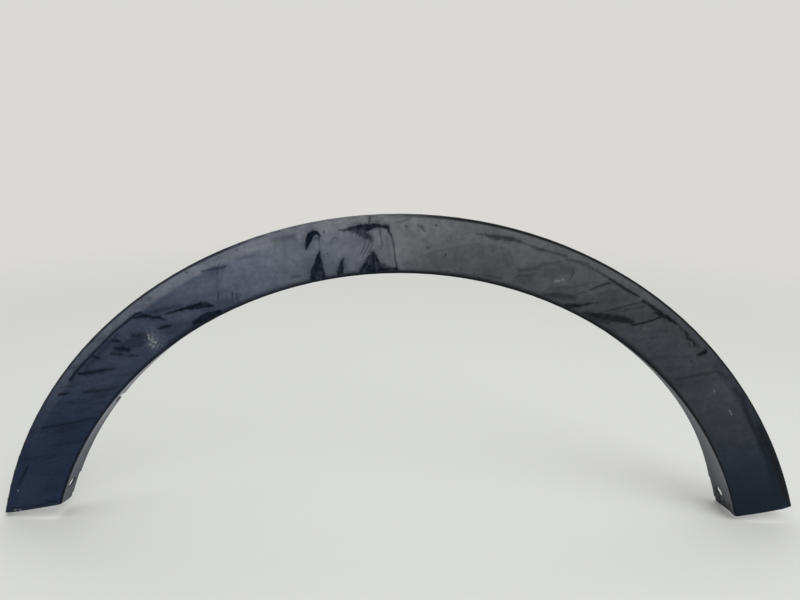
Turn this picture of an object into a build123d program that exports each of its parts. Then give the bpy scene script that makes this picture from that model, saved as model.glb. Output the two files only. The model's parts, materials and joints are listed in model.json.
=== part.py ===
from build123d import *
import os
from math import cos, degrees, hypot, radians, sin, tan

# Wheel arch trim: one moulded strip that covers the edge of a car's wheel opening. It stands upright as
# on the car, with its face towards -Y and the wheel opening below the arch. Sizes are in millimetres and
# degrees, and every angle is taken about the wheel axis, from +X at the right over the top of the arch.

# Driving dimensions of the arch
opening_radius = 395.0  # wheel axis to the fold between the face and the flange
face_width = 58.0  # fold to outer edge, across the face
right_flare = 6.2  # what the right foot's face is wider, at its end
flare_start = 46.0  # angle below which the right leg widens
flare_steps = 4
right_end = 17.75  # angle of the right foot's inner corner
left_end = 160.55  # angle of the left foot's inner corner
right_cut_slope = 11.0  # rise of the right foot's end cut towards +X
left_cut_slope = 10.9  # rise of the left foot's end cut towards +X
right_cut_rake = 8.5  # fall of the right end cut from the face to the back
left_cut_rake = 13.0  # fall of the left end cut from the face to the back

# Driving dimensions of the moulded section
wall = 2.8
crown = 1.5  # bulge of the face between its shoulder and its fold
strip_width = 12.0  # outer strip of the face, turned back from the shoulder
strip_drop = 3.0  # fall of that strip towards the outer edge
shoulder_radius = 8.0
edge_radius = 3.3  # outer edge, where the strip turns into the return lip
lip_depth = 10.0  # return lip, behind the plane of the fold
fold_radius = 2.6  # fold between the face and the flange
inside_radius = 0.5  # least radius inside a corner of the section
flange_draft = 4.0  # lean of the flange towards the wheel axis
left_flange_depth = 28.0  # flange depth at the left, level with the wheel axis
low_flange_depth = 21.0  # flange depth where its back edge starts to sweep back
sweep_start = 48.5  # angle of that place, above the right foot
right_flange_depth = 58.0  # flange depth at the right, level with the wheel axis

# Driving dimensions of the flange's details
screw_hole_radius = 6.5
right_screw_reach = 15.9  # hole centre to the right foot's corner, along the arch
right_screw_depth = 27.0  # hole centre behind the face
left_screw_reach = 20.5  # hole centre to the left foot's corner, along the arch
left_screw_depth = 13.5  # hole centre behind the face
relief_length = 27.5  # shallower stretch of flange at each foot, along the arch
relief_depth = 3.0
notch_angle = 140.7  # middle of the notch in the left leg's flange
notch_length = 14.0
notch_floor = 11.0  # flange left in the notch, behind the face
notch_corner_radius = 2.0
hook_reach = 5.0  # barb on the notch's lower side
hook_width = 4.5
nib_reach = 2.5  # smaller barb on its upper side
nib_width = 3.0
lap_length = 6.5  # thinned end of the flange at each foot, up from the end cut
right_lap_front = 8.0  # start of the right foot's thinned end, behind the face
left_lap_front = 19.0  # start of the left foot's thinned end, behind the face
lap_depth = 1.0
dimple_count = 3  # row of dimples along the end of the right flange
dimple_radius = 1.8
dimple_depth = 1.1
dimple_front = 9.0  # first dimple, behind the face
dimple_pitch = 10.0
dimple_edge = 10.5  # dimples up from the end cut

# Driving dimensions of the clip holders on the back of the face
holder_count = 7
first_holder = 31.0  # angle of the holder nearest to the right foot
holder_spread = 118.0  # angle from the first holder to the last
holder_height = 15.0  # top of a holder, behind the plane of the fold
holder_length = 16.0  # along the radius
holder_width = 20.0  # along the arch
holder_wall = 2.0
seat_radius = 4.2  # keyhole seat for a clip's neck
throat_width = 6.8  # way into that seat from the open side

# Values worked out from those
overrun = 8.0  # angle that the strip runs past each foot before its end is cut
outer_radius = opening_radius + face_width
half_width = (face_width - strip_width) / 2
flange_edge = opening_radius - right_flange_depth * tan(radians(flange_draft))
sweep_x = opening_radius * cos(radians(sweep_start))
back_slope = (low_flange_depth - left_flange_depth) / (sweep_x + opening_radius)
bend_x = (sweep_x + opening_radius) / 2
bend_depth = low_flange_depth + back_slope * (bend_x - sweep_x)
through = 3 * wall  # depth of a cut that passes right through the flange
foot_block = 2 * (face_width + right_flange_depth)  # block that an end cut takes away
holder_ring = opening_radius + half_width  # wheel axis to the middle of each holder
holder_root = crown - wall / 2  # holders start inside the face's wall
back_corner_right = (opening_radius, right_flange_depth)
back_corner_left = (-opening_radius, left_flange_depth)


def flange_depth(angle):
    """Depth of the flange's back edge: straight in plan view, then a parabola towards the right foot."""
    x = opening_radius * cos(radians(angle))
    share = max(x - sweep_x, 0) / (opening_radius - sweep_x)
    straight = low_flange_depth + back_slope * (x - sweep_x)
    return straight + (right_flange_depth - 2 * bend_depth + low_flange_depth) * share**2


def end_fall(depth, rake_angle):
    """How far a foot's end cut has fallen at a depth behind the face."""
    return depth * tan(radians(rake_angle))


def arc_turn(length):
    """Angle that a length along the flange takes up."""
    return degrees(length / opening_radius)


def inner_corners(corners):
    """Corners of the back skin, a wall thickness to the right of the front skin's corners."""
    points = [Vector(corner) for corner in corners]
    runs = [(after - before).normalized() for before, after in zip(points, points[1:])]
    rights = [Vector(run.Y, -run.X) for run in runs]
    mitres = [(a + b) / (1 + a.dot(b)) for a, b in zip(rights, rights[1:])]
    return [point + mitre * wall for point, mitre in zip(points, [rights[0], *mitres, rights[-1]])]


def section_plane(angle):
    """Plane across the strip: local x leads away from the wheel axis, local y into the car."""
    turn = radians(angle)
    return Plane(origin=(0, 0, 0), x_dir=(cos(turn), 0, sin(turn)), z_dir=(-sin(turn), 0, cos(turn)))


def section(angle):
    """Sketch of the moulded section: return lip, turned-back strip, crowned face, fold and flange."""
    spread = max(flare_start - angle, 0) / (flare_start - right_end)
    edge = outer_radius + right_flare * spread**2
    half = (edge - strip_width - opening_radius) / 2
    crown_run = hypot(crown, half) - fold_radius  # what the fold leaves of each half of the face
    corners = (
        (edge, lip_depth),
        (edge, strip_drop),
        (edge - strip_width, 0),
        (opening_radius + half, -crown),
        (opening_radius, 0),
        (flange_edge, right_flange_depth),
    )
    back_corners = inner_corners(corners)
    radii = (edge_radius, shoulder_radius, 0.9 * crown_run * half / crown, fold_radius)
    with BuildSketch(section_plane(angle)) as profile:
        with BuildLine():
            FilletPolyline(*corners, radius=radii)
            FilletPolyline(*back_corners, radius=[max(radius - wall, inside_radius) for radius in radii])
            Line(corners[0], back_corners[0])
            Line(corners[-1], back_corners[-1])
        make_face()
    return profile.sketch


def flange_plane(angle):
    """Plane on the flange's wheel side: local x runs clockwise along the arch, local y into the car."""
    turn, lean = radians(angle), radians(flange_draft)
    outward = Vector(cos(turn), 0, sin(turn))
    facing = outward * cos(lean) + Vector(0, sin(lean), 0)
    return Plane(origin=outward * opening_radius, x_dir=(sin(turn), 0, -cos(turn)), z_dir=facing)


def foot_plane(angle, slope, rake_angle):
    """Plane of a foot's end cut, facing up into the leg."""
    turn, rise, rake = radians(angle), radians(slope), radians(rake_angle)
    corner = Vector(cos(turn), 0, sin(turn)) * opening_radius
    along = Vector(cos(rise), 0, sin(rise))
    return Plane(origin=corner, x_dir=along, z_dir=along.cross(Vector(0, cos(rake), -sin(rake))))


# One clip holder: a tower with a pocket that opens away from the wheel, and a keyhole in its roof. It
# hangs down from the face, with local x away from the wheel axis.
with BuildPart() as clip_holder:
    with BuildSketch(Plane.XY.offset(holder_root)):
        Rectangle(holder_length, holder_width)
    extrude(amount=-holder_root - holder_height)
    with BuildSketch(Plane.XY.offset(-wall)):
        with Locations((holder_wall, 0)):
            Rectangle(holder_length, holder_width - 2 * holder_wall)
    extrude(amount=wall + holder_wall - holder_height, mode=Mode.SUBTRACT)
    with BuildSketch(Plane.XY.offset(-holder_height)):
        Circle(seat_radius)
        Rectangle(holder_length, throat_width, align=(Align.MIN, Align.CENTER))
    extrude(amount=2 * holder_wall, mode=Mode.SUBTRACT)

with BuildPart() as arch:
    # Top and left leg: the section turned about the wheel axis
    turned = left_end + overrun - flare_start
    revolve(section(flare_start), axis=Axis((0, 0, 0), (0, -1, 0)), revolution_arc=turned)

    # Right leg: sections that widen towards its foot
    widened = flare_start + overrun - right_end
    loft([section(flare_start - widened * step / flare_steps) for step in range(flare_steps + 1)])

    # Clip holders along the back of the face
    with Locations(Plane.XZ):
        with PolarLocations(holder_ring, holder_count, first_holder, holder_spread, endpoint=True):
            add(clip_holder.part)

    # Back edge of the flange, cut in plan view
    with BuildSketch():
        with BuildLine():
            Line(back_corner_left, (sweep_x, low_flange_depth))
            Bezier((sweep_x, low_flange_depth), (bend_x, bend_depth), back_corner_right)
            Polyline(
                back_corner_right,
                (opening_radius, 2 * right_flange_depth),
                (-opening_radius, 2 * right_flange_depth),
                back_corner_left,
            )
        make_face()
    extrude(amount=outer_radius, mode=Mode.SUBTRACT)

    # Slanted end cut of each foot
    for foot in ((right_end, right_cut_slope, right_cut_rake), (left_end, left_cut_slope, left_cut_rake)):
        with BuildSketch(foot_plane(*foot)):
            Rectangle(foot_block, foot_block)
        extrude(amount=-foot_block, mode=Mode.SUBTRACT)

    # Shallower flange at each foot
    relief_turn = arc_turn(relief_length)
    for angle, towards_foot in ((right_end + relief_turn, 1), (left_end - relief_turn, -1)):
        with BuildSketch(flange_plane(angle)):
            with Locations((towards_foot * relief_length, flange_depth(angle) - relief_depth)):
                Rectangle(2 * relief_length, foot_block, align=(Align.CENTER, Align.MIN))
        extrude(amount=through, both=True, mode=Mode.SUBTRACT)

    # Screw hole through the flange at each foot
    for angle, depth in (
        (right_end + arc_turn(right_screw_reach), right_screw_depth),
        (left_end - arc_turn(left_screw_reach), left_screw_depth),
    ):
        with BuildSketch(flange_plane(angle)):
            with Locations((0, depth)):
                Circle(screw_hole_radius)
        extrude(amount=through, both=True, mode=Mode.SUBTRACT)

    # Notch in the left flange, with a barb on each side of its mouth
    mouth = flange_depth(notch_angle)
    with BuildSketch(flange_plane(notch_angle)) as notch:
        with Locations((0, notch_floor)):
            Rectangle(notch_length, mouth, align=(Align.CENTER, Align.MIN))
        fillet(notch.vertices().group_by(Axis.Y)[0], notch_corner_radius)
    extrude(amount=through, both=True, mode=Mode.SUBTRACT)
    for side, reach, width in ((-1, hook_reach, hook_width), (1, nib_reach, nib_width)):
        root = side * (notch_length / 2 + wall)
        tip = side * (notch_length / 2 - reach)
        with BuildSketch(flange_plane(notch_angle)):
            with BuildLine():
                Polyline(
                    (root, mouth - width), (tip, mouth - width / 3), (tip, mouth), (root, mouth), close=True
                )
            make_face()
        extrude(amount=wall)

    # Thinned end of the flange at each foot, which laps the next trim
    for angle, towards_foot, rake, front in (
        (right_end, 1, right_cut_rake, right_lap_front),
        (left_end, -1, left_cut_rake, left_lap_front),
    ):
        with BuildSketch(flange_plane(angle).offset(-lap_depth)):
            with BuildLine():
                Polyline(
                    (towards_foot * (end_fall(front, rake) - lap_length), front),
                    (towards_foot * (end_fall(foot_block, rake) - lap_length), foot_block),
                    (towards_foot * foot_block, foot_block),
                    (towards_foot * foot_block, front),
                    close=True,
                )
            make_face()
        extrude(amount=2 * lap_depth, mode=Mode.SUBTRACT)

    # Row of dimples along the end of the right flange
    with BuildSketch(flange_plane(right_end).offset(-dimple_depth)):
        for place in range(dimple_count):
            depth = dimple_front + place * dimple_pitch
            with Locations((end_fall(depth, right_cut_rake) - dimple_edge, depth)):
                Circle(dimple_radius)
    extrude(amount=2 * dimple_depth, mode=Mode.SUBTRACT)

# Origin in the middle of the arch, at the level of its lowest foot
box = arch.part.bounding_box()
with BuildPart() as wheel_arch_trim:
    with Locations((-box.center().X, -box.center().Y, -box.min.Z)):
        add(arch.part)

wheel_arch_trim.part.label = "wheel_arch_trim"
os.makedirs("parts", exist_ok=True)
export_step(wheel_arch_trim.part, "parts/wheel_arch_trim.step")
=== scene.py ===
"""A wheel arch trim of moulded black plastic, used and dusty, on a pale studio floor.

The trim stands as it does on a car: +Z is up, the face looks to -Y, and +X is to the right. The wheel axis
runs along Y. A mark on the face is placed by its angle about that axis, in degrees from +X, and by its
height above the opening edge, in millimetres.
"""
import json
import math
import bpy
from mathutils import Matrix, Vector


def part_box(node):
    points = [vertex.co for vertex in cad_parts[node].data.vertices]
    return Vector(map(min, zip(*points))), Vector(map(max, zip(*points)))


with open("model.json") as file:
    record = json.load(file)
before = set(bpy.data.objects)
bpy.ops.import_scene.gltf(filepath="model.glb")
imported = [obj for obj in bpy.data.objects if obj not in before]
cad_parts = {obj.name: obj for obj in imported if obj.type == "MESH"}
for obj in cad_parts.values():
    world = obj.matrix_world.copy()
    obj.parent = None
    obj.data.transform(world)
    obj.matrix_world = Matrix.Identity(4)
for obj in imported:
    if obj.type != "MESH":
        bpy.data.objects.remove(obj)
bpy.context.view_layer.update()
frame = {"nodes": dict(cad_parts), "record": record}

from types import SimpleNamespace

import bpy
from mathutils import Matrix, Vector

bl_info = {
    "name": "Wheel arch trim",
    "version": (1, 0, 0),
    "blender": (4, 5, 0),
    "location": "View3D > Sidebar > Trim",
    "description": "Finishes a moulded wheel arch trim and sets it on a pale floor",
    "category": "Object",
}

NODE = "wheel_arch_trim"
MM = 0.001


def linear(code):
    """The linear colour of an sRGB hex code."""
    shares = [int(code[place:place + 2], 16) / 255 for place in (1, 3, 5)]
    return [c / 12.92 if c <= 0.04045 else ((c + 0.055) / 1.055) ** 2.4 for c in shares]


def wheel_axis():
    """The wheel axis, where the lines of the two screw holes cross, in the plane of the face."""
    holes = {mount["name"]: mount for mount in frame["record"]["mounts"]}
    (ax, _, az), (ux, _, uz) = (holes["right_screw_hole"][key] for key in ("pos_m", "axis"))
    (bx, _, bz), (vx, _, vz) = (holes["left_screw_hole"][key] for key in ("pos_m", "axis"))
    along = ((bx - ax) * vz - (bz - az) * vx) / (ux * vz - uz * vx)
    return Vector((ax + along * ux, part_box(NODE)[0].y, az + along * uz))


AXIS = wheel_axis()
# Sizes of the moulding in millimetres: the radius of the opening edge, and the face from there to its rim.
OPENING_RADIUS = 395.0
FACE_WIDTH = 58.0
# The outer strip of the face falls back by this much in each millimetre, from this far inside the rim.
STRIP_WIDTH = 12.0
STRIP_SLOPE = 0.25
# The flange leans towards the wheel axis by this much in each millimetre of its depth.
FLANGE_LEAN = math.tan(math.radians(4.0))
# The right leg widens towards its end, between these degrees, by this many millimetres.
FLARE_START = 46.0
RIGHT_END = 17.75
RIGHT_FLARE = 6.2
# A wall is 2.8 mm thick. Between these depths in it, the outer skin's finish gives way to the hidden one's.
SKIN = (1.6, 2.2)
# Distances inside the rim, in millimetres, over which the lip ends, the hidden side starts and the dust
# starts past the rim's painted dark line of shade.
LIP_END = (1.4, 0.8)
HIDDEN_START = (1.0, 1.8)
PAINTED_RIM_SHADE = (1.6, 3.2)
# The face turns into the fold between these depths in millimetres, and its crown adds this much in each
# millimetre of height.
FOLD_ROUND = (1.6, 0.9)
CROWN = 0.12

# A cloth went nearly level along the legs and steeply over the top, at these degrees from level. Its
# streaks and its broader smears have a length and a width in millimetres.
LEVEL_WIPE = 8
STEEP_WIPE = 67
STREAK = (24, 1.8)
BROAD_TILT = 10
BROAD_SMEAR = (60, 13)
# The steep way starts and ends over these degrees about the wheel axis.
STEEP_START = (89.0, 91.0)
STEEP_END = (106.0, 104.0)
# The outer strip's dust takes over from the face's between these heights, in millimetres.
STRIP_BORDER = (43.0, 48.5)
# Dust and greyed plastic turn cool over the first degrees, and clean plastic over the second. This is
# painted light: cool on the left half and warm on the right.
PAINTED_COOL_LIGHT = (80.0, 116.0)
CLEAN_PAINTED_COOL_LIGHT = (80.0, 97.0)
# Sizes in millimetres of the blots at the edges of the marks, of the clouds in the dust and of its flecks.
BLOT = 6.0
CLOUD = 18.0
FLECK = 2.2
# How far a noise with some detail strays from its middle, and the range that most of it is in.
NOISE_SPREAD = 0.25
NOISE_RANGE = (0.3, 0.7)
# The moulded grain's depth in millimetres, and the plastic's refractive index.
GRAIN_DEPTH = 0.2
POLYPROPYLENE_IOR = 1.49

# Dust is gone, wiped or washed off, along these strokes, and along the fold it is left off as a painted
# dark line of shade. Each one has how bare it leaves the plastic, how soft its edge is in millimetres, and
# its points: degrees about the wheel axis, height above the opening edge and half width. All of them were
# read one by one.
WIPED = {
    # Over the top
    "hook": (1, 1.3, [(103, 34.5, 1), (102.8, 38, 2.2), (102.4, 42.5, 3.5), (102.1, 46.5, 3.6),
                      (101.6, 48.5, 2.9), (101.2, 48, 2.2), (100.9, 44.5, 1.2)]),
    "hook limb": (0.8, 1.2, [(101, 45, 1.4), (101.2, 38, 0.5)]),
    "hook shade": (0.6, 2.6, [(101.9, 44, 2.8), (101.4, 43, 2.4)]),
    "hook tail": (0.5, 1, [(101.1, 38, 0.5), (101.3, 30, 0.5)]),
    "tall wedge": (0.95, 1.7, [(101.4, 30, 1), (101.5, 27, 1.8), (101.7, 22.5, 3), (102, 15.5, 5.2),
                               (102.3, 9, 7.6), (102.4, -2, 10.5)]),
    "short wedge": (0.95, 1.7, [(98.3, 19.5, 0.6), (98.6, 16, 2), (98.9, 11, 3), (99.1, 6.5, 3.8),
                                (99.2, -1, 4.8)]),
    "bar": (1, 2, [(98.4, 47, 0.6), (97.5, 46.5, 1.5), (96.6, 47, 2.6), (95.7, 47, 4), (94.8, 47, 4.2),
                   (93.9, 47.5, 3.2), (93, 47, 2), (92.2, 46.5, 2.2)]),
    "smear under the bar": (0.85, 3, [(96.4, 44, 2.4), (95.3, 41, 4.2), (94.6, 37, 3.8), (94.4, 33, 2)]),
    "haze over the bar": (0.5, 3, [(96.4, 51, 2), (93.6, 51.5, 2.5)]),
    "bar corner": (0.95, 1.2, [(92.2, 47, 1.6), (92.1, 42, 1.3), (91.8, 38, 0.8)]),
    "bar spur": (0.8, 1.3, [(94.5, 50.5, 1.6), (94.4, 56, 1.3)]),
    "triangle left": (0.95, 2, [(94.3, 23.5, 1), (96.1, 4, 3.5)]),
    "triangle middle": (1, 2, [(94.2, 22, 1.5), (94.9, 1, 7)]),
    "triangle right": (0.95, 1.6, [(94.1, 21, 1), (93.4, 3, 4.2)]),
    "blotch": (0.8, 2.5, [(93.3, 10.5, 1.8), (92.8, 7, 3.4), (92.5, 2, 4.4)]),
    # Along the fold the dust is left off as a painted dark line of shade.
    "painted shade along the fold": (0.95, 1, [(106, 1, 1.4), (102, 1.2, 2), (98, 1.3, 2.3), (94.5, 1.3, 2.5),
                                   (91, 1.3, 2.5), (87, 1.2, 2.3), (83, 1.2, 2), (79, 1.2, 2),
                                   (75, 1.2, 2), (71, 1.2, 2), (67, 1.2, 1.6)]),
    "low blotch": (1, 2.2, [(93.6, 3.5, 3.5), (92.5, 3.5, 3.8), (91.3, 3, 3.8)]),
    "blotch by the border": (0.5, 2.5, [(91.8, 5.5, 1.5), (91.6, 1.5, 2)]),
    "upright streak": (0.6, 1.4, [(93.3, 45, 1.4), (93.1, 37, 1), (93, 31, 0.7), (93.2, 25, 0.5)]),
    "border": (0.85, 1.2, [(91.8, 39, 0.8), (91.6, 32, 0.7), (91.4, 23.5, 0.7), (91.3, 15, 0.8),
                           (91.1, 7, 1), (90.9, 2, 1.2)]),
    "shade by the border": (0.3, 3, [(92.4, 38, 2), (91.9, 10, 2.5)]),
    "scratch": (0.5, 1, [(98.7, 38.5, 0.6), (99, 41, 0.5), (99.3, 40, 0.6), (99.7, 35, 0.5)]),
    "hair": (0.65, 0.9, [(91.1, 50.5, 0.4), (90.3, 51.5, 0.6), (89.4, 54.5, 0.4)]),
    "low smear": (0.55, 2.5, [(105.8, 11, 1.8), (104.9, 9.5, 2)]),
    "strip dash": (0.45, 1.2, [(103.7, 56.5, 0.5), (103.1, 52.5, 0.4)]),
    "soft oval": (0.55, 4, [(106.5, 50.5, 3), (104.2, 49, 3.5)]),
    "soft patch": (0.25, 5, [(90.8, 41, 3), (88.8, 38, 4)]),
    # On the left leg
    "left shoulder": (0.95, 1.5, [(126.9, 44.5, 1.2), (127.6, 46.5, 1.6), (131.8, 47, 1.6),
                                  (135.8, 46.5, 1.6), (139.2, 47.5, 1.8), (141, 47, 2.2)]),
    "left shoulder shade": (0.6, 4, [(131.5, 43, 2.5), (136, 42, 4), (138.5, 43, 2.5)]),
    "left streak 1": (1, 1.7, [(128.2, 46, 1.8), (126.7, 39, 2.2), (125.4, 30.5, 2), (124.9, 25.5, 0.8)]),
    "left streak 2": (0.55, 3, [(126, 39.5, 2), (124, 34, 2.6), (121.7, 28, 2)]),
    "left streak 3": (1, 1.8, [(124.2, 29.5, 1), (122.6, 25.5, 1.6), (120.9, 22, 2.4), (119.7, 19, 4),
                               (118.7, 16, 3.8), (118, 13, 1.6)]),
    "left streak 4": (0.95, 2.2, [(126.4, 22, 1.4), (125.5, 19, 2.6), (124.8, 17, 1.4)]),
    "left streak 5": (0.95, 2.5, [(139.5, 44, 2.2), (138.3, 36.5, 2.8), (136.8, 27.5, 2.3),
                                  (135.4, 20.5, 0.8)]),
    "left streak 6": (0.8, 2.2, [(141.2, 28.5, 1.6), (140, 20, 1.9), (138.9, 12, 1.8), (138, 6.5, 1)]),
    "left streak 7": (0.55, 1.4, [(142.8, 50.5, 1.2), (142, 45, 1), (141.3, 39, 0.6)]),
    "left streak 8": (0.85, 1.4, [(149.6, 46, 1.2), (148, 33, 1.2), (146.4, 21, 1.2), (145.1, 12.5, 1),
                                  (143.9, 6, 0.7)]),
    "left streak 9": (0.95, 1.6, [(143.8, 48, 1.4), (143.4, 45, 2), (142.8, 41, 1)]),
    "left inner patch": (1, 2.2, [(121.7, 6.5, 3.2), (120.5, 5.5, 5), (119.2, 5, 5), (117.5, 3.5, 3)]),
    "left inner shade": (0.45, 5, [(119.5, 13, 5), (117, 11, 6.5), (115, 7, 5)]),
    "left patch 1": (0.8, 3, [(129.8, 31, 3), (129, 26, 3.6), (128.6, 23, 3)]),
    "left patch 2": (0.95, 2.3, [(132.5, 41.5, 2.6), (132, 37, 2.4)]),
    "left patch 3": (0.95, 2.5, [(133.1, 34.5, 2.4), (132.4, 29, 3.2), (131.9, 25, 3.2)]),
    "left patch 4": (0.8, 2.4, [(134, 33, 2), (133, 26, 2.4)]),
    "left patch 5": (0.9, 2.4, [(136.4, 46.5, 2.2), (135.9, 40, 2.8)]),
    "left patch haze": (0.6, 4, [(133, 33, 5), (129.5, 24, 6)]),
    "left dash 1": (0.7, 2, [(131.1, 23.5, 1.5), (129.8, 19, 1.4)]),
    "left dash 2": (0.85, 2, [(132.6, 20, 1), (132.1, 17.5, 1.7), (131.6, 14, 1)]),
    "scribble 1": (0.75, 1.2, [(114.6, 16, 0.8), (115, 10, 1), (115.2, 5, 0.8)]),
    "scribble 2": (0.8, 1.2, [(114.1, 13, 0.8), (114.4, 9, 1), (114.6, 4.5, 0.8)]),
    "scribble link": (0.5, 1.4, [(115.4, 10, 0.8), (114, 9, 0.8)]),
    "scribble 3": (0.65, 1.4, [(116.3, 22, 1), (116.9, 15.5, 1.2)]),
    "left cross 1": (0.72, 1.5, [(116.9, 47.5, 1), (115.6, 45, 1.6), (114.8, 43.5, 2.2),
                                 (113.8, 42, 1.2)]),
    "left cross 2": (0.65, 1.3, [(114.3, 47.5, 0.8), (114.8, 43, 1.2), (115.2, 39, 0.8)]),
    "left cross haze": (0.42, 3, [(116, 45.5, 3), (114.2, 42.5, 3.5)]),
    "left cross line": (0.3, 1.5, [(115.2, 39, 0.8), (116.9, 18, 1)]),
    "left low shade": (0.45, 6, [(148.5, 31, 6), (146.9, 17, 6)]),
    "left ledge 1": (0.35, 2, [(143.9, 22, 1), (142.7, 13, 1)]),
    "left ledge 2": (0.35, 1.5, [(147.3, 51.5, 0.6), (146, 36, 0.8)]),
    "left faint line": (0.4, 1.2, [(156.7, 28.5, 0.6), (155.3, 10.5, 0.6)]),
    "left hook mark": (0.85, 1.3, [(155.9, 44, 0.8), (156.7, 44.5, 1.8), (158, 45.5, 1.1),
                                   (159.4, 47, 0.8)]),
    "left foot smudge": (0.9, 1.6, [(160.6, 13.5, 1.4), (160.2, 5.5, 1.6)]),
    "left foot line": (0.8, 1.4, [(163.6, 50, 1.4), (162.5, 32, 1), (161, 13, 1)]),
    # On the right leg
    "smudge": (0.6, 1.3, [(88.4, 48.5, 0.9), (87.9, 46.5, 1.3), (87.5, 43, 0.7)]),
    "wiped field": (0.26, 1.7, [(90, 7.5, 4), (87.3, 12.5, 8), (84, 18.5, 11), (80.8, 22, 15),
                                (77.4, 23, 17)]),
    "right shoulder 1": (0.55, 1.5, [(80.9, 46, 0.8), (79.7, 47, 1.4)]),
    "right shoulder 2": (0.75, 1.8, [(79.7, 47, 1.4), (78.7, 46, 2.6), (77.5, 47, 2.2), (76.4, 48.5, 2.4),
                                     (75.1, 48, 1.4)]),
    "right shoulder 3": (0.5, 1.5, [(75.1, 48, 1.4), (73.8, 47, 1)]),
    "right shoulder 4": (0.7, 1.8, [(73.8, 47, 1), (72.7, 46, 2), (71.5, 47, 1.4)]),
    "right shoulder 5": (0.6, 1.5, [(71.5, 47, 1.2), (70, 48.5, 1.4), (68.8, 49, 1.4)]),
    "right shoulder 6": (0.55, 2.2, [(68.6, 47, 2), (66.9, 49, 2.4), (65.8, 49, 2.2), (64.4, 48.5, 1.8)]),
    "right shoulder 7": (0.7, 1.5, [(64.4, 48.5, 1.2), (62.4, 47.5, 1.4)]),
    "right shoulder 8": (0.9, 1.5, [(62.4, 47.5, 1.4), (60.5, 47, 1.8), (59, 47, 1.8), (57.6, 48, 1.2)]),
    "right shoulder 9": (1, 1.7, [(56.8, 46.5, 1.5), (55.3, 47.5, 2), (53.8, 46.5, 3.2), (52.7, 48, 2.6),
                                  (50.9, 50, 1.2)]),
    "right shoulder spur": (0.85, 1.6, [(54.6, 43, 1.6), (54, 45.5, 2.2)]),
    "right dash 1": (0.8, 1.5, [(50.6, 49.5, 0.8), (49.9, 48.5, 1.6)]),
    "right dash 2": (0.85, 1.5, [(49.5, 49.5, 1.2), (48.8, 48, 2.5)]),
    "right dash 3": (0.85, 1.5, [(48.5, 46.5, 2.2), (47.9, 47.5, 2)]),
    "right dash 4": (0.85, 1.5, [(47.6, 48.5, 1.4), (47, 47, 2.2)]),
    "right dash 5": (0.75, 1.5, [(46.6, 48, 1.2), (46.1, 48.5, 0.9)]),
    "right dash haze": (0.5, 3, [(50.3, 49, 1.6), (48.4, 48, 2.8), (46.4, 48, 1.8)]),
    "right dash end": (0.6, 1, [(47.8, 43.5, 0.8), (47.3, 41.5, 0.8)]),
    "arrow": (1, 1.3, [(45.7, 41, 0.6), (45.5, 44.5, 2.1), (45.2, 49.5, 2.7)]),
    "right streak 1": (0.62, 4, [(74.1, 20.5, 1.6), (72, 27.5, 2.2), (71.3, 34, 1.6), (69.5, 40.5, 1)]),
    "right streak 2": (0.65, 3.5, [(74, 14.5, 1.8), (72.9, 18, 2.2), (72, 22, 1)]),
    "right streak 3": (0.45, 1.5, [(67.4, 8.5, 1.4), (65.6, 16.5, 1.2), (64.5, 24.5, 1)]),
    "right streak 3 end": (0.8, 1.4, [(63.9, 29, 0.5), (63.2, 35, 1.1), (62.1, 44.5, 1.3)]),
    "right streak 4": (0.95, 1.9, [(65.8, 3.5, 3), (63.9, 10.5, 2.1), (63.1, 15.5, 1.5),
                                   (62.1, 21.5, 0.6)]),
    "right streak 5": (0.62, 1.9, [(61.6, 9, 1.4), (59.1, 26, 1.5), (57.6, 39, 1.4), (56.6, 47.5, 1)]),
    "right streak 6": (0.52, 2, [(60, 15.5, 1.6), (58.4, 26.5, 1.6), (56.9, 38, 1.4), (55.9, 46, 1)]),
    "right streak 7": (0.95, 1.2, [(55.9, 20.5, 1.2), (54.5, 32, 1.1), (53.2, 46.5, 1.1)]),
    "right shade": (0.35, 4, [(74.1, 11.5, 3.6), (72.2, 14.5, 4.2)]),
    "right tick": (0.55, 1.2, [(67.6, 42, 0.8), (67.1, 36.5, 1), (67, 29.5, 0.8)]),
    "right low 1": (0.65, 3, [(69.5, 4.5, 2.4), (67.6, 10.5, 3.6), (65.5, 14.5, 2.6)]),
    "right low 2": (0.5, 3, [(67.3, 7.5, 2), (65.4, 13.5, 3)]),
    "right low smear": (0.6, 2.5, [(80.2, 6, 1.4), (78, 7.5, 2), (76.2, 7.5, 1.6)]),
    "right inner patch": (0.9, 2.6, [(62.8, 4.5, 3), (59.7, 13, 4.6), (57.8, 19, 4.6), (55.9, 23.5, 2)]),
    "right inner patch foot": (0.75, 3, [(63.5, 1.5, 3), (61, 4.5, 4.5), (59, 9.5, 3)]),
    "right inner shade": (0.2, 5, [(58.5, 20, 5), (55.7, 33.5, 5)]),
    "right foot line": (0.6, 2.8, [(45, 9, 1.6), (44.4, 14, 1.6), (43.2, 29, 1.8), (42.4, 39, 1.6),
                                   (42, 46, 1.4), (41.1, 48, 1.6), (40.2, 50, 1.4)]),
    "right foot shade": (0.28, 5, [(44, 8, 5), (42.6, 22, 4.5), (41.6, 36, 4)]),
    "right foot band": (0.65, 2.5, [(38, 50.5, 1.8), (36.4, 52.5, 2.4), (34.9, 50, 2.4), (33.7, 48, 2.6),
                                    (32, 47, 2), (29.3, 48, 2), (27, 49, 2.4), (26, 49.5, 1.6)]),
    "right foot strip": (0.85, 4, [(31, 53, 3), (25, 56, 4.5), (18.5, 60, 5)]),
}
# A comb of short lines below the bar, with three longer ones.
WIPED.update({f"comb {tooth}": (0.6, 0.8, [(96.1 - 0.4 * tooth, 42, 0.6), (96.4 - 0.4 * tooth, 37, 0.3)])
              for tooth in range(6)})
WIPED.update({f"long comb {tooth}": (0.6, 0.8, [(94.9 - 0.35 * tooth, 36 - 2.5 * tooth, 0.6),
                                                (95.95 - 0.15 * tooth, 21.5 - 4 * tooth, 0.4)])
              for tooth in range(3)})
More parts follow.
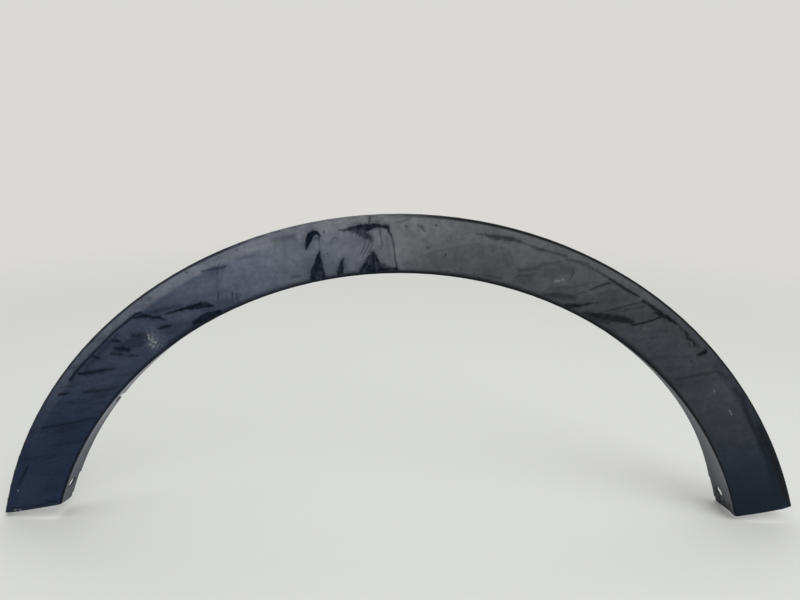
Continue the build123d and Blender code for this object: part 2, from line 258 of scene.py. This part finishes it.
# Specks, by degrees, height and radius.
WIPED.update({f"speck {degrees}": (0.75, 0.5, [(degrees, height, radius), (degrees, height + 0.3, radius)])
              for degrees, height, radius in (
                  (100.4, 26, 0.7), (100.3, 47, 0.9), (89.9, 47, 0.8), (86.1, 49, 1), (87, 26.5, 0.6),
                  (84.5, 21.5, 1.1), (82.9, 7.5, 0.9), (118.8, 53.5, 0.8), (111.7, 52.5, 0.7),
                  (51.5, 37, 0.9), (45.5, 32.5, 0.9), (45, 33, 0.5))})

# Marks with a softness from the first number up to the second are blotted at the edge by the third, and
# drawn out along the way they were wiped by the fourth, in millimetres.
BLURRED = [(0, 1.6, 0.5, 0.0), (1.6, 3, 1.1, 0.4), (3, math.inf, 1.1, 2.2)]

# The halo of a mark: its strength as a share of the mark's, and its reach as a multiple of the half width.
HALO = 0.3
HALO_REACH = 2.2

# Rubbed pale, with the same numbers.
SCUFFED = {
    "wedge hairline": (0.12, 0.5, [(101.7, 11, 0.3), (102.1, 0, 0.3)]),
    "comb light 1": (0.07, 0.5, [(95.3, 27, 0.3), (95.9, 19.5, 0.3)]),
    "comb light 2": (0.07, 0.5, [(94.6, 24, 0.3), (95.3, 17.5, 0.3)]),
    "border arc": (0.12, 0.6, [(91.1, 17, 0.3), (90.8, 12, 0.3), (90.3, 3.5, 0.4)]),
    "scuff 1": (0.5, 1.2, [(128.2, 22.5, 1.5), (128.3, 19.5, 2.2)]),
    "scuff 2": (0.6, 1.2, [(128.3, 17, 2), (128.2, 13, 2.2)]),
    "scuff 3": (0.5, 1.2, [(129, 15, 1.5), (128.9, 11, 1.8)]),
    "scuff haze": (0.25, 2.5, [(128, 19, 4.5), (128.3, 11, 4.5)]),
    "left foot chip 1": (0.5, 0.6, [(163.7, 47, 0.6), (163.5, 44.5, 0.5)]),
    "left foot chip 2": (0.55, 0.6, [(163.4, 41.5, 0.8), (163.4, 38.5, 0.6)]),
    "left foot speck": (0.75, 0.5, [(160.4, 47, 0.5), (160.5, 46.5, 0.5)]),
    "right tick 1": (0.45, 0.5, [(68.8, 22.5, 0.9), (68.4, 24, 0.7)]),
    "right tick 2": (0.4, 0.5, [(68.1, 26, 0.7), (67.9, 27, 0.6)]),
    "right foot tick 1": (0.4, 0.5, [(39.8, 32, 0.4), (39.5, 31.5, 0.4)]),
    "right foot tick 2": (0.65, 0.5, [(35.8, 34, 0.5), (35, 33.5, 0.5)]),
    "right rub": (0.16, 0.8, [(54.3, 27, 0.6), (54, 25, 0.6)]),
}

# Each of these is an amount by degrees about the wheel axis. How much of the face and of its outer strip
# the dust covers, and how strong the pale painted sheen on the wheel side of the flange is:
FACE_DUST = [(19, 0.0), (25, 0.02), (30, 0.055), (40, 0.1), (50, 0.1), (60, 0.15), (66, 0.18), (72, 0.215),
             (78, 0.255), (86, 0.295), (90.5, 0.385), (104, 0.325), (111, 0.32), (116, 0.235), (120, 0.19),
             (125, 0.105), (130, 0.1), (136, 0.085), (141, 0.065), (146, 0.025), (155, 0.015),
             (161, 0.025)]
STRIP_DUST = [(25, 0.0), (30, 0.02), (40, 0.06), (50, 0.12), (60, 0.185), (70, 0.225), (80, 0.245),
              (90, 0.33), (95, 0.4), (100, 0.385), (106, 0.385), (110, 0.475), (116, 0.37), (121, 0.345),
              (126, 0.28), (135, 0.21), (140, 0.17), (146, 0.06), (151, 0.03), (155, 0.0)]
FLANGE_SHEEN = [(17.5, 0.1), (18.7, 0.15), (19.6, 0.22), (22, 0.31), (25, 0.4), (40, 0.42), (90, 0.4),
               (122, 0.8), (137, 0.9), (144, 0.65), (148, 0.47), (152, 0.39), (156, 0.34), (160, 0.3)]
# How much the face is smeared.
SMEARED = [(22, 0.0), (30, 0.15), (46, 0.2), (55, 0.3), (66, 0.35), (73, 0.2), (88, 0.15), (108, 0.15),
           (117, 0.35), (125, 0.35), (132, 0.4), (141, 0.5), (150, 0.4), (159, 0.3)]
# How many centimetres up from the fold the face is painted dark as shade, with its dust left off.
FOLD_SHADE_REACH = [(17, 0.1), (26, 0.12), (34, 0.3), (46, 0.6), (60, 0.85), (68, 0.78), (75, 0.84), (80, 0.97),
             (90, 0.84), (97, 0.88), (102, 0.84), (112, 0.9), (122, 1.1), (130, 0.6), (145, 0.4),
             (162, 0.3)]
# How far the rim and the lip behind it keep their dust; where they keep none, the rim is painted dark as
# shade.
RIM_KEPT = [(84, 0.0), (93, 0.85), (106, 0.85), (114, 0.1)]


def add(tree, kind, *inputs, named=None, **settings):
    """Adds a node with its settings. An input is a value, a socket, or a node for its first output."""
    made = tree.nodes.new("ShaderNode" + kind)
    for name, value in settings.items():
        setattr(made, name, value)
    sockets = {index: value for index, value in enumerate(inputs) if value is not None}
    sockets.update(named or {})
    for key, value in sockets.items():
        socket = made.inputs[key] if isinstance(key, int) else next(
            one for one in made.inputs if one.name == key and one.enabled)
        if isinstance(value, bpy.types.Node):
            value = next(one for one in value.outputs if one.enabled)
        if isinstance(value, bpy.types.NodeSocket):
            tree.links.new(value, socket)
        else:
            socket.default_value = value
    return made


def blank_tree(owner):
    """The node tree of a new material or world, with nothing in it."""
    owner.use_nodes = True
    owner.node_tree.nodes.clear()
    return owner.node_tree


def stroke_group():
    """A node group that gives a strength within a tapered stroke on the face, a faint halo beside it and 0
    beyond."""
    group = bpy.data.node_groups.new("tapered stroke", "ShaderNodeTree")
    for name, kind in (("Place", "Vector"), ("Start", "Vector"), ("Run", "Vector"), ("Run Share", "Vector"),
                       ("Start Width", "Float"), ("End Width", "Float"), ("Outside", "Float"),
                       ("Inside", "Float"), ("Strength", "Float"), ("Halo", "Float")):
        group.interface.new_socket(name, in_out="INPUT", socket_type="NodeSocket" + kind)
    group.interface.new_socket("Mask", in_out="OUTPUT", socket_type="NodeSocketFloat")
    given = group.nodes.new("NodeGroupInput").outputs
    offset = add(group, "VectorMath", given["Place"], given["Start"], operation="SUBTRACT")
    along = add(group, "VectorMath", offset, given["Run Share"], operation="DOT_PRODUCT").outputs["Value"]
    share = add(group, "Clamp", along)
    nearest = add(group, "VectorMath", given["Run"], named={"Scale": share}, operation="SCALE")
    distance = add(group, "VectorMath", offset, nearest, operation="DISTANCE").outputs["Value"]
    width = add(group, "Mix", named={"Factor": share, "A": given["Start Width"], "B": given["End Width"]})
    past = add(group, "Math", distance, width, operation="SUBTRACT")
    mask = add(group, "MapRange", past, given["Outside"], given["Inside"], 0.0, given["Strength"],
               interpolation_type="SMOOTHSTEP", clamp=False)
    reach = add(group, "Math", width, HALO_REACH, operation="MULTIPLY")
    halo = add(group, "MapRange", past, reach, 0.0, 0.0, given["Halo"], interpolation_type="SMOOTHSTEP",
               clamp=False)
    mask = add(group, "Math", mask, halo, operation="MAXIMUM")
    group.links.new(mask.outputs[0], group.nodes.new("NodeGroupOutput").inputs["Mask"])
    return group


def face_point(degrees, height):
    """The place of a mark in the plane of the face, in millimetres from the wheel axis."""
    angle = math.radians(degrees)
    reach = OPENING_RADIUS + height
    return Vector((reach * math.cos(angle), 0.0, reach * math.sin(angle)))


def strokes(tree, group, place, marks):
    """The mask of all the strokes in a list of marks."""
    total = 0.0
    for strength, softness, points in marks:
        for (angle, height, width), (next_angle, next_height, next_width) in zip(points, points[1:]):
            start = face_point(angle, height)
            run = face_point(next_angle, next_height) - start
            mask = add(tree, "Group", place, start, run, run / run.length_squared, width, next_width,
                       softness, -softness, strength, HALO * strength, node_tree=group)
            total = add(tree, "Math", total, mask, operation="MAXIMUM")
    return total


def by_angle(tree, degrees, stops):
    """An amount that changes along the arch."""
    ramp = add(tree, "ValToRGB", add(tree, "Math", degrees, 180.0, operation="DIVIDE"))
    elements = ramp.color_ramp.elements
    for _ in stops[2:]:
        elements.new(0.5)
    for element, (angle, amount) in zip(elements, stops):
        element.position = angle / 180
        element.color = (amount, amount, amount, 1)
    return ramp


def smear(tree, plane, tilt, length, width):
    """Noise that is drawn out along the way a cloth went, at a tilt from level."""
    drawn = add(tree, "Mapping", plane, vector_type="TEXTURE",
                named={"Rotation": (0, -math.radians(tilt), 0), "Scale": (length, 1, width)})
    noise = add(tree, "TexNoise", drawn, named={"Scale": 1.0, "Detail": 3.0, "Roughness": 0.6})
    return noise.outputs["Color"]


def wiping_way(tilt):
    """The direction in the plane of the face at a tilt from level."""
    return math.cos(math.radians(tilt)), 0.0, math.sin(math.radians(tilt))


def above_edge(tree, point):
    """How far a point in the plane of the face lies above the opening edge."""
    reach = add(tree, "VectorMath", point, operation="LENGTH").outputs["Value"]
    return add(tree, "Math", reach, OPENING_RADIUS, operation="SUBTRACT")


def arch_places(tree):
    """Where a point of the surface lies on the arch: in millimetres from the wheel axis, the same flattened
    to the plane of the face, its depth behind that plane, its degrees about the axis, its height above the
    opening edge, its distance inside the rim, and how far up from the fold the painted shade reaches there."""
    place = add(tree, "Mapping", add(tree, "TexCoord").outputs["Object"],
                named={"Location": -AXIS / MM, "Scale": (1 / MM, 1 / MM, 1 / MM)})
    plane = add(tree, "VectorMath", place, (1, 0, 1), operation="MULTIPLY")
    axes = add(tree, "SeparateXYZ", place).outputs
    turn = add(tree, "Math", axes["Z"], axes["X"], operation="ARCTAN2")
    degrees = add(tree, "Math", turn, operation="DEGREES")
    height = above_edge(tree, plane)
    flare = add(tree, "MapRange", degrees, FLARE_START, RIGHT_END)
    flare = add(tree, "Math", flare, 2.0, operation="POWER")
    rim = add(tree, "Math", flare, RIGHT_FLARE, FACE_WIDTH, operation="MULTIPLY_ADD")
    from_rim = add(tree, "Math", rim, height, operation="SUBTRACT")
    fold_shade_reach = add(tree, "Math", by_angle(tree, degrees, FOLD_SHADE_REACH), 10.0, operation="MULTIPLY")
    return SimpleNamespace(place=place, plane=plane, depth=axes["Y"], degrees=degrees, height=height,
                           from_rim=from_rim, fold_shade_reach=fold_shade_reach)


def wiped_off(tree, arch, group):
    """How bare a cloth left the plastic, with the drawn-out place and the blots that make other edges
    ragged as well."""
    steep = add(tree, "Math", add(tree, "MapRange", arch.degrees, *STEEP_START),
                add(tree, "MapRange", arch.degrees, *STEEP_END), operation="MULTIPLY")
    streaks = add(tree, "Mix", data_type="RGBA",
                  named={"Factor": steep, "A": smear(tree, arch.plane, LEVEL_WIPE, *STREAK),
                         "B": smear(tree, arch.plane, STEEP_WIPE, *STREAK)})
    streak = add(tree, "SeparateXYZ", streaks).outputs["X"]
    way = add(tree, "Mix", data_type="VECTOR",
              named={"Factor": steep, "A": wiping_way(LEVEL_WIPE), "B": wiping_way(STEEP_WIPE)})
    blots = add(tree, "TexNoise", arch.plane, named={"Scale": 1 / BLOT, "Detail": 3.0, "Roughness": 0.6})
    blots = add(tree, "VectorMath", blots.outputs["Color"], (0.5, 0.5, 0.5), operation="SUBTRACT")
    blot = add(tree, "SeparateXYZ", blots).outputs
    uneven = add(tree, "MapRange", blot["Y"], -0.15, 0.1, 0.87, 1.05)
    wiped = 0.0
    for softest, limit, blotted, reach in BLURRED:
        pull = add(tree, "MapRange", streak, *NOISE_RANGE, -reach, reach, clamp=False)
        along = add(tree, "VectorMath", way, named={"Scale": pull}, operation="SCALE")
        moved = add(tree, "VectorMath", arch.plane, along, operation="ADD")
        spread = blotted / NOISE_SPREAD
        drawn = add(tree, "VectorMath", blots, (spread, 0, spread), moved, operation="MULTIPLY_ADD")
        masks = strokes(tree, group, drawn, [mark for mark in WIPED.values() if softest <= mark[1] < limit])
        if softest:
            masks = add(tree, "Math", masks, uneven, operation="MULTIPLY")
        wiped = add(tree, "Math", wiped, masks, operation="MAXIMUM")
    broad = add(tree, "SeparateXYZ", smear(tree, arch.plane, BROAD_TILT, *BROAD_SMEAR)).outputs["X"]
    smears = add(tree, "MapRange", broad, 0.45, 0.68, interpolation_type="SMOOTHSTEP")
    smears = add(tree, "Math", smears, by_angle(tree, arch.degrees, SMEARED), operation="MULTIPLY")
    wiped = add(tree, "Math", wiped, smears, operation="MAXIMUM", use_clamp=True)
    return SimpleNamespace(wiped=wiped, drawn=drawn, blot=blot["X"])


def sides(tree, arch):
    """Masks of the moulding's sides: the hidden side, the front of the face where dust can lie, which
    leaves out the rim and the round of the fold where they are painted dark as shade, and the wheel side
    of the flange."""
    fall = add(tree, "MapRange", arch.from_rim, STRIP_WIDTH, 0.0, 0.0, STRIP_WIDTH * STRIP_SLOPE)
    behind_face = add(tree, "MapRange", add(tree, "Math", arch.depth, fall, operation="SUBTRACT"), *SKIN)
    upright = add(tree, "Math", arch.depth, FLANGE_LEAN, arch.height, operation="MULTIPLY_ADD")
    behind_flange = add(tree, "MapRange", upright, *SKIN)
    hidden = add(tree, "MapRange", arch.from_rim, *HIDDEN_START)
    for share in (behind_face, behind_flange):
        hidden = add(tree, "Math", hidden, share, operation="MULTIPLY")

    rim_kept = by_angle(tree, arch.degrees, RIM_KEPT)
    on_lip = add(tree, "MapRange", arch.from_rim, *LIP_END)
    on_lip = add(tree, "Math", on_lip, rim_kept, operation="MULTIPLY")
    front = add(tree, "Math", 1.0, behind_face, operation="SUBTRACT")
    front = add(tree, "Math", front, on_lip, operation="MAXIMUM")
    # Where it keeps no dust, the rim is painted dark as shade over its last few millimetres.
    inside_rim = add(tree, "MapRange", arch.from_rim, *PAINTED_RIM_SHADE)
    inside_rim = add(tree, "Math", inside_rim, rim_kept, operation="MAXIMUM")
    # The round of the fold is painted dark as shade, apart from where the painted shade beside the fold
    # reaches only a few millimetres.
    turned_in = add(tree, "Math", arch.height, -CROWN, arch.depth, operation="MULTIPLY_ADD")
    before_fold = add(tree, "Math", add(tree, "MapRange", turned_in, *FOLD_ROUND),
                      add(tree, "MapRange", arch.fold_shade_reach, 4.0, 1.3), operation="MAXIMUM")
    for share in (inside_rim, before_fold):
        front = add(tree, "Math", front, share, operation="MULTIPLY")

    # The painted sheen starts a few millimetres past the fold, and furthest past it on the right leg.
    past_fold = add(tree, "Math", add(tree, "MapRange", arch.degrees, 26.0, 36.0, 3.4, 7.0),
                    add(tree, "MapRange", arch.degrees, 60.0, 90.0, 0.0, 3.4), operation="SUBTRACT")
    inward = add(tree, "Math", arch.depth, arch.height, operation="SUBTRACT")
    wheel_side = add(tree, "Math", add(tree, "MapRange", inward, 2.2, past_fold),
                     add(tree, "Math", 1.0, behind_flange, operation="SUBTRACT"), operation="MULTIPLY")
    return SimpleNamespace(hidden=hidden, front=front, wheel_side=wheel_side)


def dust_cover(tree, arch, side, cloth, flecks):
    """How much of the surface dust and the flange's painted sheen cover, how much of the face kept its dust
    clear of the painted shade of the fold and rim, and where the strip is.
    """
    strip = add(tree, "MapRange", above_edge(tree, cloth.drawn), *STRIP_BORDER,
                interpolation_type="SMOOTHSTEP")
    # Beside the fold the dust is left off, which paints shade there.
    fold_shade = add(tree, "MapRange", arch.height, arch.fold_shade_reach, 0.5, 0.0, 0.95,
                      interpolation_type="SMOOTHSTEP")
    bare = add(tree, "Math", cloth.wiped, fold_shade, operation="MAXIMUM")
    kept = add(tree, "Math", add(tree, "Math", 1.0, bare, operation="SUBTRACT"), side.front,
               operation="MULTIPLY")
    dust = add(tree, "Mix", named={"Factor": strip, "A": by_angle(tree, arch.degrees, FACE_DUST),
                                   "B": by_angle(tree, arch.degrees, STRIP_DUST)})
    clouds = add(tree, "TexNoise", arch.plane, named={"Scale": 1 / CLOUD, "Detail": 6.0, "Roughness": 0.6})
    cloudy = add(tree, "MapRange", clouds, *NOISE_RANGE, 0.8, 1.2)
    mottle = add(tree, "MapRange", cloth.blot, -0.2, 0.2, 0.82, 1.18)
    rise = add(tree, "MapRange", arch.height, 8.0, 42.0, 0.85, 1.12)
    for share in (cloudy, mottle, rise):
        dust = add(tree, "Math", dust, share, operation="MULTIPLY")
    fine = add(tree, "Math", add(tree, "MapRange", flecks, *NOISE_RANGE, -1.0, 1.0),
               add(tree, "MapRange", arch.degrees, 60.0, 100.0, 0.007, 0.02), operation="MULTIPLY")
    dust = add(tree, "Math", add(tree, "Math", dust, fine, operation="ADD"), kept, operation="MULTIPLY")
    # The wheel side of the flange gets a pale painted sheen, its reflection at a grazing view, stronger
    # where more light falls and fading towards the back edge.
    painted_sheen = side.wheel_side
    for share in (by_angle(tree, arch.degrees, FLANGE_SHEEN),
                  add(tree, "MapRange", arch.depth, 6.0, 32.0, 1.15, 0.72)):
        painted_sheen = add(tree, "Math", painted_sheen, share, operation="MULTIPLY")
    dust = add(tree, "Math", dust, painted_sheen, operation="ADD", use_clamp=True)
    return SimpleNamespace(dust=dust, kept=kept, strip=strip)


def dust_and_sheen_colour(tree, side, cover, cool, finish):
    """The colour of the dust, painted cooler on the left half as cool light, and of the painted sheen on
    the flange.
    """
    share = add(tree, "Math", cool, add(tree, "MapRange", cover.strip, 0.0, 1.0, 1.0, 0.6),
                operation="MULTIPLY")
    on_face = add(tree, "Mix", data_type="RGBA",
                  named={"Factor": share, "A": (*finish.dust_in_warm_light, 1), "B": (*finish.dust_in_cool_light, 1)})
    return add(tree, "Mix", data_type="RGBA",
               named={"Factor": side.wheel_side, "A": on_face, "B": (*finish.flange_sheen, 1)})


def plastic_colour(tree, arch, side, cover, cool, finish):
    """The colour of the plastic, painted cooler on the left half and warmer on the right as light. It is
    darkest where it is clean, where it was wiped and where the fold and the rim are painted dark as shade,
    and plain on the hidden side, whose lighter grey is partly its own and partly painted sheen.
    """
    greyed = add(tree, "Mix", data_type="RGBA",
                 named={"Factor": cool, "A": (*finish.greyed_plastic_in_warm_light, 1), "B": (*finish.greyed_plastic_in_cool_light, 1)})
    clean = add(tree, "Mix", data_type="RGBA",
                named={"Factor": add(tree, "MapRange", arch.degrees, *CLEAN_PAINTED_COOL_LIGHT),
                       "A": (*finish.clean_plastic_in_warm_light, 1), "B": (*finish.clean_plastic_in_cool_light, 1)})
    seen = add(tree, "Mix", data_type="RGBA", named={"Factor": cover.kept, "A": clean, "B": greyed})
    return add(tree, "Mix", data_type="RGBA",
               named={"Factor": side.hidden, "A": seen, "B": (*finish.hidden_plastic_and_sheen, 1)})


def dusty_polypropylene(finish):
    """Black talc-filled polypropylene, moulded against a finely grained tool and left unpainted. It is a
    soft satin charcoal with a blue cast, painted cooler on the left half and warmer on the right as light.
    Road dust greys the part that faces up most, and wiped strokes show the bare plastic. The fold and the
    rim of the legs are painted dark as shade, the wheel side of the flange has a pale painted sheen, and
    the hidden side is partly painted lighter as sheen."""
    material = bpy.data.materials.new("moulded black polypropylene")
    tree = blank_tree(material)
    arch = arch_places(tree)
    group = stroke_group()
    cloth = wiped_off(tree, arch, group)
    scuffed = strokes(tree, group, arch.plane, SCUFFED.values())
    flecks = add(tree, "TexNoise", arch.plane, named={"Scale": 1 / FLECK, "Detail": 3.0, "Roughness": 0.7})
    side = sides(tree, arch)
    cover = dust_cover(tree, arch, side, cloth, flecks)
    cool = add(tree, "MapRange", arch.degrees, *PAINTED_COOL_LIGHT)
    colour = add(tree, "Mix", data_type="RGBA",
                 named={"Factor": cover.dust, "A": plastic_colour(tree, arch, side, cover, cool, finish),
                        "B": dust_and_sheen_colour(tree, side, cover, cool, finish)})
    rubbed = add(tree, "MapRange", flecks, 0.38, 0.6, interpolation_type="SMOOTHSTEP")
    for share in (scuffed, side.front):
        rubbed = add(tree, "Math", rubbed, share, operation="MULTIPLY")
    colour = add(tree, "Mix", data_type="RGBA",
                 named={"Factor": rubbed, "A": colour, "B": (*finish.scuff, 1)})
    roughness = add(tree, "MapRange", cover.dust, 0.0, 0.4, 0.5, 0.75)
    grain = add(tree, "TexNoise", arch.place, named={"Scale": MM / finish.grain, "Detail": 2.0})
    bump = add(tree, "Bump", named={"Strength": 0.12, "Distance": GRAIN_DEPTH * MM, "Height": grain})
    shader = add(tree, "BsdfPrincipled",
                 named={"Base Color": colour, "Roughness": roughness, "Normal": bump,
                        "IOR": POLYPROPYLENE_IOR, "Specular IOR Level": 0.08})
    add(tree, "OutputMaterial", shader)
    return material


class TrimFinish(bpy.types.PropertyGroup):
    """The colours and grain of the moulding."""
    # The cool colours are the plastic and the dust with painted cool light on the left half, and the warm
    # ones with painted warm light on the right.
    clean_plastic_in_cool_light: bpy.props.FloatVectorProperty(
        name="Clean cool plastic", description="Colour of the left half where it was wiped",
        subtype="COLOR", min=0, max=1, default=linear("#07111f"))
    clean_plastic_in_warm_light: bpy.props.FloatVectorProperty(
        name="Clean warm plastic", description="Colour of the right half where it was wiped",
        subtype="COLOR", min=0, max=1, default=linear("#0c1015"))
    greyed_plastic_in_cool_light: bpy.props.FloatVectorProperty(
        name="Cool plastic", description="Colour of the greyed plastic on the left half", subtype="COLOR",
        min=0, max=1, default=linear("#1a2840"))
    greyed_plastic_in_warm_light: bpy.props.FloatVectorProperty(
        name="Warm plastic", description="Colour of the greyed plastic on the right half", subtype="COLOR",
        min=0, max=1, default=linear("#14202d"))
    # The hidden side is lighter than the face's plastic: partly its own grey and partly painted sheen.
    hidden_plastic_and_sheen: bpy.props.FloatVectorProperty(
        name="Hidden plastic", description="Colour of the side that faces the car", subtype="COLOR",
        min=0, max=1, default=linear("#34373b"))
    dust_in_cool_light: bpy.props.FloatVectorProperty(
        name="Cool dust", description="Colour of the dust on the left half", subtype="COLOR",
        min=0, max=1, default=linear("#9fa7b8"))
    dust_in_warm_light: bpy.props.FloatVectorProperty(
        name="Warm dust", description="Colour of the dust on the right half", subtype="COLOR",
        min=0, max=1, default=linear("#a9a7a6"))
    # The colour of the pale painted sheen on the wheel side of the flange.
    flange_sheen: bpy.props.FloatVectorProperty(
        name="Flange sheen", description="Colour of the film on the wheel side", subtype="COLOR",
        min=0, max=1, default=linear("#a2a6ae"))
    scuff: bpy.props.FloatVectorProperty(
        name="Scuff", description="Colour of plastic that was rubbed pale", subtype="COLOR",
        min=0, max=1, default=linear("#a9adb0"))
    grain: bpy.props.FloatProperty(
        name="Grain", description="Size of the moulded grain", subtype="DISTANCE", unit="LENGTH",
        default=0.9 * MM)


class TrimStage(bpy.types.PropertyGroup):
    """The floor, the light and the camera."""
    floor: bpy.props.FloatVectorProperty(
        name="Floor", description="Colour of the floor", subtype="COLOR", min=0, max=1,
        default=linear("#dcdedd"))
    sky: bpy.props.FloatVectorProperty(
        name="Background", description="Colour behind the floor", subtype="COLOR", min=0, max=1,
        default=linear("#dad9d5"))
    lens: bpy.props.FloatProperty(
        name="Lens", description="Focal length on a 36 mm wide sensor", subtype="DISTANCE_CAMERA",
        default=27.0)
    pitch: bpy.props.FloatProperty(
        name="Pitch", description="How far the camera looks down", subtype="ANGLE",
        default=math.radians(15.04))
    yaw: bpy.props.FloatProperty(
        name="Yaw", description="How far the camera stands to the left of the middle", subtype="ANGLE",
        default=math.radians(1.0))
    roll: bpy.props.FloatProperty(
        name="Roll", description="How far the camera is turned about its own line of sight",
        subtype="ANGLE", default=math.radians(0.9))
    distance: bpy.props.FloatProperty(
        name="Distance", description="From the camera to the point it aims at", subtype="DISTANCE",
        unit="LENGTH", default=0.6026)
    aim: bpy.props.FloatVectorProperty(
        name="Aim", description="The point the camera aims at, from the wheel axis", subtype="TRANSLATION",
        unit="LENGTH", default=(-0.004, 0.001, 0.3677))


class TRIM_OT_moulding(bpy.types.Operator):
    """Finish the moulded trim"""
    bl_idname = "trim.moulding"
    bl_label = "Moulding"

    def execute(self, context):
        trim = frame["nodes"][NODE]
        trim.data.materials.clear()
        trim.data.materials.append(dusty_polypropylene(context.scene.trim_finish))
        return {"FINISHED"}


# The lamps look at a point in the arch. Each one has a place and a size in metres, and a power in watts.
LAMP_AIM = Vector((0, 0, 0.2))
LAMPS = {
    "key": (Vector((1.2, -1.6, 2.2)), (2.0, 2.0), 30),
    "overhead": (Vector((-0.4, 0.2, 2.4)), (2.4, 1.6), 18),
}
FLOOR_SIZE = 60.0
# Between these distances from its middle, in metres, the floor fades into the background.
FLOOR_FADE = (0.7, 2.0)
# How strongly the background lights the trim.
SKY_LIGHT = 0.8
SENSOR_WIDTH = 36.0


def soft_light(name, place, size, power):
    """A large soft lamp that looks at the arch."""
    bpy.ops.object.light_add(type="AREA", location=place)
    lamp = bpy.context.object
    lamp.name = name
    lamp.rotation_euler = (LAMP_AIM - place).to_track_quat("-Z", "Y").to_euler()
    lamp.data.shape = "RECTANGLE"
    lamp.data.size, lamp.data.size_y = size
    lamp.data.energy = power


class TRIM_OT_stage(bpy.types.Operator):
    """Set the floor, the light and the camera"""
    bl_idname = "trim.stage"
    bl_label = "Stage"

    def execute(self, context):
        stage = context.scene.trim_stage
        bpy.ops.object.select_all(action="DESELECT")
        bpy.ops.mesh.primitive_plane_add(size=FLOOR_SIZE)
        floor = context.object
        floor.name = "studio_floor"
        floor.data.materials.append(self.floor_material(stage))
        self.world(context.scene, stage)
        for name, (place, size, power) in LAMPS.items():
            soft_light(name, place, size, power)
        self.camera(context, stage)
        return {"FINISHED"}

    def floor_material(self, stage):
        """Matt white board: an even pale ground that takes a soft shadow. Far off, to the camera and in
        mirror images, it has the background's own colour, so no horizon shows."""
        material = bpy.data.materials.new("matt white board")
        tree = blank_tree(material)
        board = add(tree, "BsdfPrincipled", named={"Base Color": (*stage.floor, 1), "Roughness": 0.8,
                                                   "Specular IOR Level": 0.2})
        place = add(tree, "TexCoord").outputs["Object"]
        far = add(tree, "VectorMath", place, operation="LENGTH").outputs["Value"]
        far = add(tree, "MapRange", far, *FLOOR_FADE, interpolation_type="SMOOTHSTEP")
        faded = add(tree, "Math", far, self.seen_ray(tree), operation="MULTIPLY")
        background = add(tree, "Emission", (*stage.sky, 1), 1.0)
        add(tree, "OutputMaterial", add(tree, "MixShader", faded, board, background))
        return material

    def seen_ray(self, tree):
        """1 for a ray that shows a thing to the camera, straight or in a mirror image or through glass."""
        ray = add(tree, "LightPath").outputs
        seen = add(tree, "Math", ray["Is Camera Ray"], ray["Is Glossy Ray"], operation="MAXIMUM")
        return add(tree, "Math", seen, ray["Is Transmission Ray"], operation="MAXIMUM")

    def world(self, scene, stage):
        """Even light from all round, which the camera sees at the background's own colour."""
        scene.world = bpy.data.worlds.new("studio")
        tree = blank_tree(scene.world)
        lit = add(tree, "Background", (*stage.sky, 1), SKY_LIGHT)
        shown = add(tree, "Background", (*stage.sky, 1), 1.0)
        add(tree, "OutputWorld", add(tree, "MixShader", self.seen_ray(tree), lit, shown))

    def camera(self, context, stage):
        """A camera that aims at a point near the arch's top, from in front and a little above."""
        right = Vector((math.cos(stage.yaw), -math.sin(stage.yaw), 0))
        level = math.cos(stage.pitch)
        ahead = Vector((math.sin(stage.yaw) * level, math.cos(stage.yaw) * level, -math.sin(stage.pitch)))
        up = right.cross(ahead)
        turned = Matrix.Rotation(-stage.roll, 3, ahead)
        right, up = turned @ right, turned @ up
        place = AXIS + Vector(stage.aim) - stage.distance * ahead
        bpy.ops.object.camera_add()
        camera = context.object
        camera.name = "photograph"
        columns = Matrix((right, up, -ahead)).transposed()
        camera.matrix_world = Matrix.Translation(place) @ columns.to_4x4()
        camera.data.sensor_width = SENSOR_WIDTH
        camera.data.lens = stage.lens
        context.scene.camera = camera


class TRIM_PT_panel(bpy.types.Panel):
    """Sizes, colours and steps of the trim"""
    bl_idname = "TRIM_PT_panel"
    bl_label = "Wheel arch trim"
    bl_space_type = "VIEW_3D"
    bl_region_type = "UI"
    bl_category = "Trim"

    def draw(self, context):
        for group, step in (("trim_finish", TRIM_OT_moulding), ("trim_stage", TRIM_OT_stage)):
            settings = getattr(context.scene, group)
            for name in settings.__annotations__:
                self.layout.prop(settings, name)
            self.layout.operator(step.bl_idname)


CLASSES = (TrimFinish, TrimStage, TRIM_OT_moulding, TRIM_OT_stage, TRIM_PT_panel)


def register():
    for one in CLASSES:
        bpy.utils.register_class(one)
    bpy.types.Scene.trim_finish = bpy.props.PointerProperty(type=TrimFinish)
    bpy.types.Scene.trim_stage = bpy.props.PointerProperty(type=TrimStage)


def unregister():
    del bpy.types.Scene.trim_stage
    del bpy.types.Scene.trim_finish
    for one in reversed(CLASSES):
        bpy.utils.unregister_class(one)


def main():
    register()
    bpy.context.scene.view_settings.view_transform = "Standard"
    bpy.ops.trim.moulding()
    bpy.ops.trim.stage()


if __name__ == "__main__":
    main()
